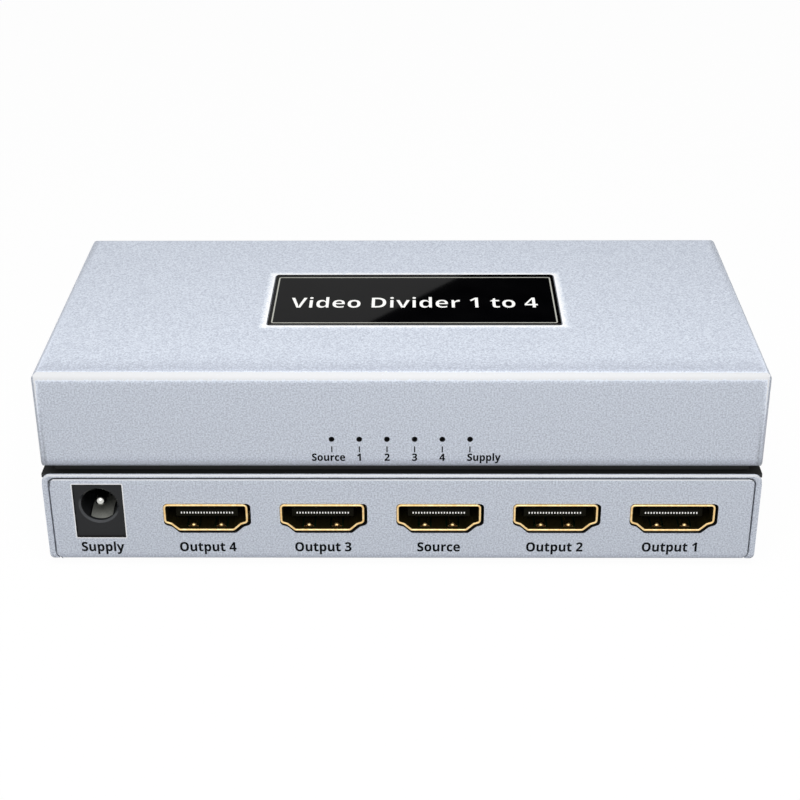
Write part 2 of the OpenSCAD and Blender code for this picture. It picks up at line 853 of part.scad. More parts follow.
module jack_leaf() {
    color("#9a9c96")
        side_prism(jack_x, leaf_w)
            translate([leaf_mid, jack_z - leaf_drop + leaf_bow - leaf_r])
                intersection() {
                    difference() {
                        circle(leaf_r + leaf_t / 2, $fn = 96);
                        circle(leaf_r - leaf_t / 2, $fn = 96);
                    }
                    translate([-leaf_half, 0])
                        square([2 * leaf_half, leaf_r + leaf_t]);
                }
}

module jack_leaf_terminal() {
    color("#9a9c96") {
        block(jack_x, terminal_w, leaf_tail_y, leaf_tail_y + terminal_t,
              board_low - tail, jack_z - leaf_drop);
        block(jack_x, slot_w, leaf_tail_y, leaf_tail_y + terminal_t, board_top, jack_z - leaf_drop);
    }
}

module splitter_chip() {
    notch_d = 1;
    notch = 2 * notch_d - chip_s / 2;
    color("#1c1c1e")
        difference() {
            block(0, chip_s, chip_y - chip_s / 2, chip_y + chip_s / 2, board_top, board_top + chip_t);
            translate([notch, chip_y + notch, board_top + chip_t - mark_depth])
                cylinder(h = over, d = notch_d);
        }
}

module thermal_pad() {
    pad_s = chip_s - 2 * pad_inset;
    color("#9aa7b5")
        block(0, pad_s, chip_y - pad_s / 2, chip_y + pad_s / 2, board_top + chip_t, sink_z);
}

module heat_sink() {
    step = (sink_s - fin_t) / (sink_fins - 1);
    color("#b9bcc0")
        front_prism(chip_y - sink_s / 2, chip_y + sink_s / 2)
            translate([-sink_s / 2, sink_z]) {
                square([sink_s, sink_foot]);
                for (i = [0:sink_fins - 1])
                    translate([i * step, 0])
                        square([fin_t, sink_h]);
            }
}

// A flat package with two rows of bent leads
module lead_package(x, y, w, d, h, leads) {
    stand = 0.2;
    lead_w = 0.4;
    lead_out = 1;
    step = w / leads;
    knee = d / 2 + lead_out / 2;
    toe = d / 2 + lead_out;
    translate([x, y, board_top]) {
        block(0, w, -d / 2, d / 2, stand, h);
        for (s = [-1, 1], i = [0:leads - 1])
            translate([(i - (leads - 1) / 2) * step, 0, 0])
                scale([1, s, 1])
                    side_prism(0, lead_w)
                        polygon([
                            [d / 2 - stand, h / 2], [knee, h / 2], [knee, stand], [toe, stand], [toe, 0],
                            [knee - stand, 0], [knee - stand, h / 2 - stand], [d / 2 - stand, h / 2 - stand]
                        ]);
    }
}

module microcontroller() {
    color("#1c1c1e")
        lead_package(-near_x, chip_y, controller_w, controller_d, controller_h, leads = 10);
}

module crystal() {
    can_w = 10.2;
    can_d = 4;
    can_h = 3.2;
    can_r = 1.9;
    foot_t = 0.5;
    foot_out = 0.5;
    color("#b4b6b8")
        translate([-near_x, chip_y + crystal_back, board_top]) {
            linear_extrude(can_h)
                rounded_rect(can_w, can_d, can_r);
            linear_extrude(foot_t)
                rounded_rect(can_w + 2 * foot_out, can_d + 2 * foot_out, can_r + foot_out);
        }
}

module regulator() {
    color("#1c1c1e")
        lead_package(near_x, chip_y + regulator_back, regulator_w, regulator_d, regulator_h, leads = 3);
}

module power_inductor() {
    edge = 1;
    dish = 0.4;
    color("#3a3a3c")
        translate([near_x, chip_y, board_top])
            difference() {
                linear_extrude(coil_h)
                    rounded_rect(coil_s, coil_s, edge);
                translate([0, 0, coil_h - dish])
                    cylinder(h = over, d = coil_s - 2 * edge);
            }
}

module bulk_capacitors() {
    base_h = 0.6;
    groove = 0.2;
    can_r = cap_d / 2;
    bead_z = 2 * base_h;
    color("#8f9298")
        for (y = [-1, 1])
            translate([cap_x, chip_y + y * cap_step, board_top]) {
                linear_extrude(base_h)
                    square(cap_d + 2 * groove, center = true);
                rotate_extrude()
                    polygon([
                        [0, 0], [can_r, 0], [can_r, bead_z], [can_r - groove, bead_z + groove],
                        [can_r, bead_z + 2 * groove], [can_r, cap_h - groove],
                        [can_r - groove, cap_h], [0, cap_h]
                    ]);
            }
}

module port_protectors() {
    array_y = front_y + shell_len + array_back;
    color("#1c1c1e")
        for (x = port_xs, s = [-1, 1])
            block(x + s * array_x, array_w, array_y, array_y + array_d, board_top, board_top + array_h);
}

module indicator_board() {
    color("#1e5a3a")
        difference() {
            block(0, 2 * led_board_hw, led_board_y, led_board_y + led_board_t,
                  led_board_low, led_mid + led_board_up);
            for (s = [-1, 1])
                translate([s * post_x, 0, led_mid])
                    bar_y(led_board_y - over, led_board_y + led_board_t + over,
                          board_screw_d + 2 * screw_gap);
            for (x = led_xs, s = [-1, 1])
                block(x + s * lead_x, lead_hole, led_board_y - over, led_board_y + led_board_t + over,
                      led_mid - lead_hole / 2, led_mid + lead_hole / 2);
        }
}

// An indicator points forward, with its two leads through the board
module indicator_led(i) {
    flange_t = 1;
    flange_out = 0.4;
    lead = 0.5;
    color("#d9dde0")
        translate([led_xs[i], 0, led_mid]) {
            translate([0, led_y + led_d / 2, 0])
                sphere(d = led_d);
            bar_y(led_y + led_d / 2, led_board_y, led_d);
            bar_y(led_board_y - flange_t, led_board_y, led_d + 2 * flange_out);
            for (s = [-1, 1])
                block(s * lead_x, lead, led_board_y - flange_t, led_board_y + led_board_t + lead_end,
                      -lead / 2, lead / 2);
        }
}

module indicator_header() {
    color("#e7e4da")
        block(0, header_w, led_board_y + led_board_t, ribbon_y0,
              indicator_header_z - header_h / 2, indicator_header_z + header_h / 2);
}

module main_header() {
    color("#e7e4da")
        block(0, header_w, ribbon_y - header_d / 2, ribbon_y + header_d / 2, board_top, ribbon_foot);
}

module ribbon_cable() {
    color("#b7b9bd")
        side_prism(0, ribbon_w) {
            translate([ribbon_y0, indicator_header_z - ribbon_t / 2])
                square([ribbon_lead, ribbon_t]);
            translate([ribbon_y0 + ribbon_lead, indicator_header_z - ribbon_r])
                intersection() {
                    difference() {
                        circle(ribbon_r + ribbon_t / 2);
                        circle(ribbon_r - ribbon_t / 2);
                    }
                    square(ribbon_r + ribbon_t);
                }
            translate([ribbon_y - ribbon_t / 2, ribbon_foot])
                square([ribbon_t, indicator_header_z - ribbon_r - ribbon_foot]);
        }
}

top_cover();
name_plate();
deck();
base_shell();
front_panel();
rubber_feet();
case_screws();
board_screws();
indicator_screws();
main_board();
for (i = [0:port_n - 1]) {
    port_shell(i);
    port_insulator(i);
    port_contacts(i);
}
jack_body();
jack_pin();
jack_leaf();
jack_leaf_terminal();
splitter_chip();
thermal_pad();
heat_sink();
microcontroller();
crystal();
regulator();
power_inductor();
bulk_capacitors();
port_protectors();
indicator_board();
for (i = [0:led_n - 1])
    indicator_led(i);
indicator_header();
main_header();
ribbon_cable();
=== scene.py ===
import math

import bmesh
import bpy
from mathutils import Matrix, Vector


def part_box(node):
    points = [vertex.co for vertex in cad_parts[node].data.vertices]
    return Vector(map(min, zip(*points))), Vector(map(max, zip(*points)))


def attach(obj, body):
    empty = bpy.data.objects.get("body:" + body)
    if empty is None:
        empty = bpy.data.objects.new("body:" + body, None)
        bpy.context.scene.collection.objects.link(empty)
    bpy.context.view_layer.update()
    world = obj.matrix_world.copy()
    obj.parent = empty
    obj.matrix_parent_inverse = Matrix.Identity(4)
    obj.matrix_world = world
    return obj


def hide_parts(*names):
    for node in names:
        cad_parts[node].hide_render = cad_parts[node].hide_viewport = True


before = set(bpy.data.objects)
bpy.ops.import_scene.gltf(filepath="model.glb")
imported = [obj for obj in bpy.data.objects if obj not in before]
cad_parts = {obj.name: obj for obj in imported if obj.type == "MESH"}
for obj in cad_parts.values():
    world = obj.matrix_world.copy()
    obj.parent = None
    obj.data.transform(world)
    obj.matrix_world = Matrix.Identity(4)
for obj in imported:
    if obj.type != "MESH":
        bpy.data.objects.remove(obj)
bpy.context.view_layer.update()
mm = 0.001


# Lower box: a shallow aluminium tray whose front edge is a slim rim round the panel.
# It is pressed and then sprayed silver, so every edge is a little round under the paint.

def linear(code):
    """A colour written as sRGB hex, in the linear values that the shaders take."""
    parts = [int(code[i:i + 2], 16) / 255 for i in (1, 3, 5)]
    return [p / 12.92 if p <= 0.04045 else ((p + 0.055) / 1.055) ** 2.4 for p in parts] + [1]


def add(tree, kind, inputs=None, stops=(), **settings):
    """Adds a node to a material, with its settings, values or links at its inputs, and a ramp's colours."""
    new = tree.nodes.new(kind)
    for key, value in settings.items():
        setattr(new, key, value)
    for key, value in (inputs or {}).items():
        if isinstance(value, bpy.types.NodeSocket):
            tree.links.new(value, new.inputs[key])
        else:
            new.inputs[key].default_value = value
    for i, (at, code) in enumerate(stops):
        ramp = new.color_ramp.elements
        stop = ramp[i] if i < len(ramp) else ramp.new(at)
        stop.position = at
        stop.color = linear(code)
    return new


def surface(name, **shader_values):
    """A new material with its shader's own values set, given back with its tree and its shader."""
    material = bpy.data.materials.new(name)
    material.use_nodes = True
    shader = material.node_tree.nodes["Principled BSDF"]
    for key, value in shader_values.items():
        shader.inputs[key.replace("_", " ")].default_value = value
    return material, material.node_tree, shader


def pick(piece):
    """Makes one piece the only selected one."""
    bpy.ops.object.select_all(action="DESELECT")
    piece.select_set(True)
    bpy.context.view_layer.objects.active = piece


def copy_of(node, name):
    """A copy of a solid to finish by hand, with its loose triangles joined."""
    piece = bpy.data.objects.new(name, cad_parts[node].data.copy())
    bpy.context.collection.objects.link(piece)
    piece.data.materials.clear()
    pick(piece)
    bpy.ops.mesh.customdata_custom_splitnormals_clear()
    bpy.ops.object.mode_set(mode="EDIT")
    bpy.ops.mesh.select_all(action="SELECT")
    bpy.ops.mesh.remove_doubles(threshold=0.002 * mm)
    bpy.ops.mesh.tris_convert_to_quads(face_threshold=math.radians(1), shape_threshold=math.radians(120))
    bpy.ops.object.mode_set(mode="OBJECT")
    return piece


near = 0.01 * mm    # points this close to a face lie on it
sliver = near ** 2    # faces smaller than this have no direction of their own


def choose(piece, kind, test):
    """Starts to edit a piece, with only those of its faces or edges selected that pass a test."""
    pick(piece)
    bpy.ops.object.mode_set(mode="EDIT")
    bpy.ops.mesh.select_mode(type=kind)
    bpy.ops.mesh.select_all(action="DESELECT")
    mesh = bmesh.from_edit_mesh(piece.data)
    for part in mesh.faces if kind == "FACE" else mesh.edges:
        part.select = test(part)
    bmesh.update_edit_mesh(piece.data)


def sharp(edge):
    """Whether an edge lies between two real faces that meet at an angle."""
    whole = edge.is_manifold and min(face.calc_area() for face in edge.link_faces) > sliver
    return whole and edge.calc_face_angle() > math.radians(35)


def ease(piece, width, segments, where, material_index=None):
    """Rounds the sharp edges of a piece whose ends both pass a test, and can give the rounds a finish."""
    choose(piece, "EDGE", lambda edge: sharp(edge) and all(where(v.co) for v in edge.verts))
    bpy.ops.mesh.bevel(offset=width, segments=segments, affect="EDGES")
    if material_index is not None:
        piece.active_material_index = material_index
        bpy.ops.object.material_slot_assign()
    bpy.ops.object.mode_set(mode="OBJECT")


def smooth(piece):
    """Smooth rounds between flat faces."""
    pick(piece)
    bpy.ops.object.shade_smooth_by_angle(angle=math.radians(40))
    flat_faces = piece.modifiers.new("flat faces", "WEIGHTED_NORMAL")
    flat_faces.keep_sharp = True
    bpy.ops.object.modifier_apply(modifier=flat_faces.name)


def fix(piece, slot, *nodes, body="case"):
    """Fixes a finished piece to its body, in place of the solids that it stands for."""
    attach(piece, body)
    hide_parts(*nodes)


# Silver spray paint on aluminium: fine flake in a satin lacquer, which gives a light speckle.
# Real flake is about 0.05 mm. It is drawn at 0.28 mm here, because a finer one would not show.
flake = 0.28 * mm
flake_stops = [(0.32, "#b7bdca"), (0.68, "#dde4ef")]    # the flake's dark and bright sides
ripple = 0.01 * mm    # height of the ripples in a sprayed or moulded face
front_shade_reach = 7 * mm    # painted shade on a level face reaches this far from the front edge


def silver_paint(name, edge_z, low_edge_shade_band, low_edge_shade_depth, front_shade_depth):
    """Silver paint with painted shade over a band above a lower edge and near the front of level faces, and
    a painted highlight on rounded front edges.
    """
    material, tree, shader = surface(name, Metallic=0.1, Roughness=0.5)
    place = add(tree, "ShaderNodeTexCoord")
    speckle = add(tree, "ShaderNodeTexNoise",
                  {"Vector": place.outputs["Object"], "Scale": 1 / flake, "Detail": 1})
    parts = add(tree, "ShaderNodeSeparateXYZ", {0: place.outputs["Object"]})
    # Painted shade: the colour darkens over a band above the lower edge.
    painted_low_edge_shade = add(tree, "ShaderNodeMapRange", {"Value": parts.outputs["Z"], "From Min": edge_z + low_edge_shade_band,
                                            "From Max": edge_z - 0.75 * low_edge_shade_band, "To Max": low_edge_shade_depth},
               interpolation_type="SMOOTHSTEP")
    speckle_and_painted_light = add(tree, "ShaderNodeMath", {0: speckle.outputs["Fac"], 1: painted_low_edge_shade.outputs[0]},
               operation="SUBTRACT")
    # Painted highlight: over a rounded front edge the flake is smoothed out and the colour turns a neutral
    # light grey.
    facing = add(tree, "ShaderNodeNewGeometry")
    turned = add(tree, "ShaderNodeSeparateXYZ", {0: facing.outputs["Normal"]})
    rounding = add(tree, "ShaderNodeMath", {0: turned.outputs["Y"], 1: turned.outputs["Z"]},
                   operation="MULTIPLY")
    clear = add(tree, "ShaderNodeMapRange", {"Value": rounding.outputs[0], "From Min": -0.2,
                                             "From Max": -0.42, "To Max": 0.8},
                interpolation_type="SMOOTHSTEP")
    speckle_and_painted_light = add(tree, "ShaderNodeMath", {0: speckle_and_painted_light.outputs[0], 1: clear.outputs[0]}, operation="ADD")
    # Painted shade: a level face is darkened a little towards the front edge.
    painted_front_shade = add(tree, "ShaderNodeMapRange", {"Value": parts.outputs["Y"],
                                                  "From Min": front_y + front_shade_reach,
                                                  "From Max": front_y, "To Max": front_shade_depth},
                     interpolation_type="SMOOTHSTEP")
    level = add(tree, "ShaderNodeMath", {0: painted_front_shade.outputs[0], 1: turned.outputs["Z"]},
                operation="MULTIPLY")
    speckle_and_painted_light = add(tree, "ShaderNodeMath", {0: speckle_and_painted_light.outputs[0], 1: level.outputs[0]}, operation="SUBTRACT")
    # The ramp's lowest stop gives the painted shade, and its last stop the painted highlight's neutral
    # grey.
    tone = add(tree, "ShaderNodeValToRGB", {"Fac": speckle_and_painted_light.outputs[0]},
               stops=[(0, "#a3a8b2"), *flake_stops, (1, "#cccdcf")])
    orange_peel = add(tree, "ShaderNodeBump",
                      {"Strength": 0.2, "Distance": ripple, "Height": speckle.outputs["Fac"]})
    tree.links.new(tone.outputs["Color"], shader.inputs["Base Color"])
    tree.links.new(orange_peel.outputs["Normal"], shader.inputs["Normal"])
    return material


box_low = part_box("base_shell")[0]
front_y = box_low.y
paint = silver_paint("silver_flake_paint", box_low.z, 1.2 * mm, 0.55, 0.0)
rim_round = 0.3 * mm
bottom_round = 0.1 * mm
rim_z = box_low.z + 1 * mm    # the front edges above this are the rim's, and those below the bottom's
lower_box = copy_of("base_shell", "lower_box")
lower_box.data.materials.append(paint)
ease(lower_box, rim_round, 3, lambda p: p.y < front_y + near and p.z > rim_z)
ease(lower_box, bottom_round, 2, lambda p: p.y < front_y + near and p.z < rim_z)
smooth(lower_box)
fix(lower_box, "silver_paint", "base_shell")


# Front panel: a punched aluminium plate set in the rim, sprayed with the same silver paint.
# Its cut-outs let the sockets through, and their names are printed under them in dark ink.

panel_low, panel_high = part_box("front_panel")
panel_round = 0.2 * mm
panel_corner = 1.3 * mm    # the corners' rounds lie within this distance of the sides
ink_t = 0.012 * mm    # thickness of a printed or milled line that stands on a face
front_panel = copy_of("front_panel", "socket_panel")
front_panel.data.materials.append(paint)


def mottled(name, low, high, grain_size, detail=3, pits=0, **shader_values):
    """A material that varies between two colours over a grain of a real size, and may be finely pitted."""
    material, tree, shader = surface(name, **shader_values)
    place = add(tree, "ShaderNodeTexCoord")
    grain = add(tree, "ShaderNodeTexNoise",
                {"Vector": place.outputs["Object"], "Scale": 1 / grain_size, "Detail": detail})
    tone = add(tree, "ShaderNodeValToRGB", {"Fac": grain.outputs["Fac"]}, stops=[(0.3, low), (0.7, high)])
    tree.links.new(tone.outputs["Color"], shader.inputs["Base Color"])
    if pits:
        bump = add(tree, "ShaderNodeBump",
                   {"Strength": pits, "Distance": ripple, "Height": grain.outputs["Fac"]})
        tree.links.new(bump.outputs["Normal"], shader.inputs["Normal"])
    return material


# Painted shade: the walls of the panel's edges and cut-outs are near-black, so every gap reads dark.
painted_gap_shade = mottled("painted_shade_black", "#070708", "#0f0f10", 0.2 * mm, Roughness=0.7)
front_panel.data.materials.append(painted_gap_shade)
for face in front_panel.data.polygons:
    if math.hypot(face.normal.x, face.normal.z) > 0.5 and face.center.z > box_low.z + near:
        face.material_index = 1


def on_outline(p):
    """Whether a point lies on the front of the panel's outline, and not on a cut-out."""
    at_side = min(p.x - panel_low.x, panel_high.x - p.x) < panel_corner
    at_end = min(p.z - panel_low.z, panel_high.z - p.z) < near
    return p.y < front_y + near and (at_side or at_end)


ease(front_panel, panel_round, 3, on_outline, 0)
smooth(front_panel)
fix(front_panel, "silver_paint", "front_panel")

# Painted highlight: a fine near-white line runs round the power socket's cut-out, with a faint mottle.
painted_cut_highlight = mottled("painted_highlight_ring", "#f8fafc", "#fefeff", 0.4 * mm, Roughness=0.45)


def frame_line(name, middle, size, width, corner, tilt=0):
    """A thin line round a rectangle of a size, on a level face or tilted up to a front one."""
    bpy.ops.object.select_all(action="DESELECT")
    bpy.ops.mesh.primitive_plane_add(size=1)
    line = bpy.context.object
    line.name = name
    line.scale = (*size, 1)
    bpy.ops.object.transform_apply(scale=True)
    bpy.ops.object.mode_set(mode="EDIT")
    bpy.ops.mesh.select_all(action="SELECT")
    bpy.ops.mesh.bevel(offset=corner, segments=6, affect="VERTICES")
    bpy.ops.mesh.select_mode(type="FACE")
    bpy.ops.mesh.select_all(action="SELECT")
    bpy.ops.mesh.inset(thickness=width)
    bpy.ops.mesh.delete(type="FACE")
    bpy.ops.mesh.select_all(action="SELECT")
    bpy.ops.mesh.extrude_region_move(TRANSFORM_OT_translate={"value": (0, 0, ink_t)})
    bpy.ops.mesh.select_all(action="SELECT")
    bpy.ops.mesh.normals_make_consistent(inside=False)
    bpy.ops.object.mode_set(mode="OBJECT")
    line.rotation_euler = (math.radians(tilt), 0, 0)
    line.location = middle
    bpy.ops.object.transform_apply(location=True, rotation=True, scale=True)
    return line


jack_low, jack_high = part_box("jack_body")
jack_mid = (jack_low + jack_high) / 2
jack_x = jack_mid.x
cut_gap = 0.1 * mm
cut_line_w = 0.2 * mm
cut_size = [jack_high[i] - jack_low[i] + 2 * (cut_gap + cut_line_w) for i in (0, 2)]
cut_corner = 0.3 * mm
cut_mid = (jack_x, front_y, jack_mid.z)
cut_line = frame_line("socket_cut_line", cut_mid, cut_size, cut_line_w, cut_corner, tilt=90)
cut_line.data.materials.append(painted_cut_highlight)
fix(cut_line, "silver_paint")

# Screen-printing ink, matt and nearly black: the paint's speckle shows through it faintly.
ink = mottled("screen_ink", "#07080b", "#101216", flake, detail=2, Roughness=0.8, Specular_IOR_Level=0.1)

cap_share = 0.714    # height of the capitals against the size of the font
sans_starts = {"A": 0x1D5D4, "a": 0x1D5EE, "0": 0x1D7EC}
narrow = 0.88    # the letters are set narrow
ink_spread = 0.025 * mm    # the ink runs this far past the stencil's edges


def sans(words):
    """The same words in the bold sans-serif letters that the font keeps for mathematics."""
    spelt = ""
    for letter in words:
        first = "0" if letter.isdigit() else "A" if letter.isupper() else "a"
        spelt += chr(sans_starts[first] + ord(letter) - ord(first)) if letter.isalnum() else letter
    return spelt


def legend(words, name, x, base_z, cap, y):
    """Words printed on a front face at y, centred on x, with capitals of a height standing on base_z."""
    bpy.ops.object.select_all(action="DESELECT")
    bpy.ops.object.text_add()
    piece = bpy.context.object
    piece.name = name
    piece.data.body = sans(words)
    piece.data.align_x = "CENTER"
    piece.data.size = cap / cap_share
    piece.data.extrude = ink_t / 2
    piece.data.bevel_depth = ink_spread
    piece.data.bevel_resolution = 0
    piece.data.resolution_u = 4
    bpy.ops.object.convert(target="MESH")
    piece.scale = (narrow, 1, ink_t / (ink_t + 2 * ink_spread))
    piece.rotation_euler = (math.radians(90), 0, 0)
    piece.location = (x, y - ink_t / 2, base_z)
    bpy.ops.object.transform_apply(location=True, rotation=True, scale=True)
    piece.data.materials.append(ink)
    fix(piece, "black_abs")


port_names = ["port_shell_%d" % i for i in range(1, 6)]
port_mids = [sum(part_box(n), Vector()) / 2 for n in port_names]
port_legend_z = 2.95 * mm
port_legend_cap = 1.85 * mm
for i, words in enumerate(["Output 4", "Output 3", "Source", "Output 2", "Output 1"]):
    legend(words, "port_legend_%d" % (i + 1), port_mids[i].x, port_legend_z, port_legend_cap, front_y)
legend("Supply", "power_legend", jack_x, port_legend_z, port_legend_cap, front_y)


# Video ports: a shell of rolled brass with a gold flash, a dark moulded tongue and bright contacts.
# The shell's legs and the contacts' feet are soldered to the board, and the lip stands out of the panel.

# Gold flash over nickel: bright and smooth, with faint drawing marks along the sheet.
drawn = 0.5 * mm
gold = mottled("gold_flash", "#e9c180", "#fadfa8", drawn, Metallic=1.0, Roughness=0.36)
# Painted shade: inside the shell the colour is a dull dark brown, where the shade falls.
shaded_shell_inside = mottled("painted_shade_shell_inside", "#4d4528", "#5b5332", drawn, Metallic=1.0, Roughness=0.5)

lip_round = 0.16 * mm
lip_depth = 0.5 * mm
nub_face = 0.1 * mm ** 2    # the faces of the domed nubs are smaller than this
lip_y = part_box("port_shell_1")[0].y
port_shell = copy_of("port_shell_1", "port_1_shell")
port_shell.data.materials.append(gold)
ease(port_shell, lip_round, 3, lambda p: p.y < lip_y + near)
# Behind the lip the sheet gets this painted shade, apart from the domed nubs on the spring fingers.
port_shell.data.materials.append(shaded_shell_inside)
for face in port_shell.data.polygons:
    along_tube = abs(face.normal.y) < 0.12 and face.area > nub_face
    if along_tube and face.center.y > lip_y + lip_depth:
        face.material_index = 1
smooth(port_shell)
port_shells = [port_shell]
for i in range(1, 5):
    pick(port_shell)
    bpy.ops.object.duplicate()
    twin = bpy.context.object
    twin.name = "port_%d_shell" % (i + 1)
    twin.location = port_mids[i] - port_mids[0]
    bpy.ops.object.transform_apply(location=True)
    port_shells.append(twin)
for i, shell in enumerate(port_shells):
    fix(shell, "gold_plate", port_names[i])

# Glass-filled liquid-crystal polymer, moulded: very dark brown, satin, with fine flow grain.
moulded_dark = mottled("moulded_tongue_polymer", "#12110a", "#191810", 0.6 * mm, detail=4,
                       Roughness=0.6, Specular_IOR_Level=0.06)

# Bright tin-gold plating on the contacts: a pale mirror with fine stamping marks.
bright_plate = mottled("bright_contact_plating", "#f4f3ee", "#fefdfa", 0.2 * mm, detail=2,
                       Metallic=1.0, Roughness=0.18)


def dress(material, *nodes):
    """Gives solids whose shape is right their finish."""
    for name in nodes:
        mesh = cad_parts[name].data
        mesh.materials.clear()
        mesh.materials.append(material)


dress(moulded_dark, *["port_insulator_%d" % i for i in range(1, 6)])
dress(bright_plate, *["port_contacts_%d" % i for i in range(1, 6)])


# Power socket: a black moulded body with a round bore, a turned centre pin and a bowed spring leaf.
# The leaf lies below the pin and gives way when a plug goes in; all tails are soldered to the board.

# Moulded polyester, black: satin with a fine eroded grain from the mould.
erosion = 0.15 * mm
socket_black = mottled("moulded_socket_polyester", "#131416", "#1a1b1d", erosion, detail=2, pits=0.15,
                       Roughness=0.5, Specular_IOR_Level=0.3)
jack_body = copy_of("jack_body", "power_socket_body")
jack_body.data.materials.append(socket_black)
# The bore's chamfered mouth is glossier than the body and is also painted a lighter grey as a highlight, so
# it shows as a thin bright ring.
ring_gloss_and_highlight = mottled("polished_socket_polyester_highlight", "#2a2c2e", "#34363a", 0.3 * mm, Roughness=0.2)
jack_body.data.materials.append(ring_gloss_and_highlight)
for face in jack_body.data.polygons:
    if -0.9 < face.normal.y < -0.3:
        face.material_index = 1
smooth(jack_body)
fix(jack_body, "socket_pbt", "jack_body")

# The pin is turned and nickel plated, so its round tip gleams where it faces out of the bore.
turned_nickel = mottled("turned_nickel", "#c6c6c1", "#d8d8d3", 0.2 * mm, detail=2,
                        Metallic=1.0, Roughness=0.15)
power_pin = copy_of("jack_pin", "power_socket_pin")
power_pin.data.materials.append(turned_nickel)
smooth(power_pin)
fix(power_pin, "contact_plating", "jack_pin")

# Nickel-plated spring strip: satin grey with rolling lines along it.
rolling = 0.12 * mm
spring_strip, tree, shader = surface("nickel_spring_strip", Metallic=0.6, Roughness=0.4)
place = add(tree, "ShaderNodeTexCoord")
along = add(tree, "ShaderNodeMapping", {"Vector": place.outputs["Object"], "Scale": (1, 0.1, 1)})
lines = add(tree, "ShaderNodeTexNoise",
            {"Vector": along.outputs["Vector"], "Scale": 1 / rolling, "Detail": 2})
tone = add(tree, "ShaderNodeValToRGB", {"Fac": lines.outputs["Fac"]},
           stops=[(0.3, "#8f918b"), (0.7, "#a5a69f")])
tree.links.new(tone.outputs["Color"], shader.inputs["Base Color"])

spring_leaf = copy_of("jack_leaf", "power_socket_leaf")
spring_leaf.data.materials.append(spring_strip)
smooth(spring_leaf)
fix(spring_leaf, "spring_metal", "jack_leaf", body="leaf")
dress(spring_strip, "jack_leaf_terminal")


# Circuit boards and what is soldered to them: glass-epoxy laminate under green solder mask, moulded chips,
# drawn cans, a ferrite choke, a finned heat sink on a soft pad, and a flat cable between two headers.

# The mask is a gloss lacquer over glass cloth, whose weave shows as a mottle of about a millimetre.
solder_mask = mottled("green_solder_mask", "#12472b", "#1c5f3b", 1.0 * mm, Roughness=0.3)
dress(solder_mask, "main_board", "indicator_board")
# Moulded epoxy is matt black, with a fine blasted grain.
chip_epoxy = mottled("moulded_chip_epoxy", "#17181a", "#232427", 0.2 * mm, Roughness=0.65)
dress(chip_epoxy, "splitter_chip", "microcontroller", "regulator", "port_protectors")
# The pad is a soft filled silicone, pale and chalky.
pad_silicone = mottled("filled_pad_silicone", "#8d99a6", "#a3aeb9", 0.4 * mm, Roughness=0.8)
dress(pad_silicone, "thermal_pad")
# The heat sink is bare extruded aluminium, and the cans are drawn and bright.
bare_aluminium = mottled("extruded_aluminium", "#a9acb0", "#c6c8cb", 0.5 * mm, Metallic=1.0, Roughness=0.4)
dress(bare_aluminium, "heat_sink", "bulk_capacitors")
drawn_can = mottled("drawn_nickel_can", "#a5a6a4", "#c3c3bf", 0.8 * mm, Metallic=1.0, Roughness=0.25)
dress(drawn_can, "crystal")
# Pressed ferrite is dark grey and slightly rough.
ferrite = mottled("pressed_ferrite", "#2c2c2e", "#3f3f42", 0.15 * mm, Roughness=0.7)
dress(ferrite, "power_inductor")
# The headers are natural nylon, and the flat cable is soft grey vinyl.
header_nylon = mottled("natural_nylon", "#d8d3c4", "#e8e4d8", 0.5 * mm, Roughness=0.5)
dress(header_nylon, "indicator_header", "main_header")
cable_vinyl = mottled("grey_cable_vinyl", "#9b9da1", "#b4b6ba", 1.27 * mm, Roughness=0.55)
dress(cable_vinyl, "ribbon_cable")
# The screws that hold the boards are zinc-plated steel.
zinc_steel = mottled("zinc_plated_steel", "#9fa3a8", "#c4c7ca", 0.3 * mm, Metallic=1.0, Roughness=0.35)
dress(zinc_steel, "board_screws", "indicator_screws")


# Deck: a black moulded plate that closes the box and locates the cover; its edge is the dark reveal.
# It lies on the box's walls, and the case screws pass through it.

# Moulded ABS, black: matt, with a fine spark-eroded grain.
deck_abs = mottled("moulded_black_abs", "#0f100f", "#181918", erosion, detail=2, pits=0.2, Roughness=0.55)
dress(deck_abs, "deck")


# Indicators: clear epoxy lamps on their board, one behind each small hole in the cover.
# Their lenses are only seen as a faint gleam at the end of the holes.

lens_epoxy = mottled("cast_lens_epoxy", "#3a3d40", "#4b4f52", 0.6 * mm, Roughness=0.12, IOR=1.5)
lamp_names = ["indicator_led_%d" % i for i in range(1, 7)]
dress(lens_epoxy, *lamp_names)


# Top cover: an aluminium shell with broad rounds along its top edges, sprayed silver.
# Its front has six small holes for the indicators, each with a printed tick and a name below it.

cover_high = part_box("top_cover")[1]
cover_edge = 20.1 * mm    # height of the shell's lower edge; the screw posts inside it reach lower
plate_low, plate_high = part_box("name_plate")
lamp_mids = [sum(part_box(n), Vector()) / 2 for n in lamp_names]
hole_r = 0.5 * mm
hole_depth = 2 * mm
cover = copy_of("top_cover", "upper_cover")
cover_paint = silver_paint("silver_cover_paint", cover_edge, 2.3 * mm, 1.0, 0.19)
cover.data.materials.append(cover_paint)

# Painted shade: the holes' walls are near-black, so the holes read dark.
cover.data.materials.append(painted_gap_shade)
for face in cover.data.polygons:
    for mid in lamp_mids:
        reach = Vector((face.center.x - mid.x, face.center.z - mid.z))
        if reach.length < 1.05 * hole_r and face.center.y < front_y + hole_depth:
            face.material_index = 1
smooth(cover)
fix(cover, "silver_paint", "top_cover")

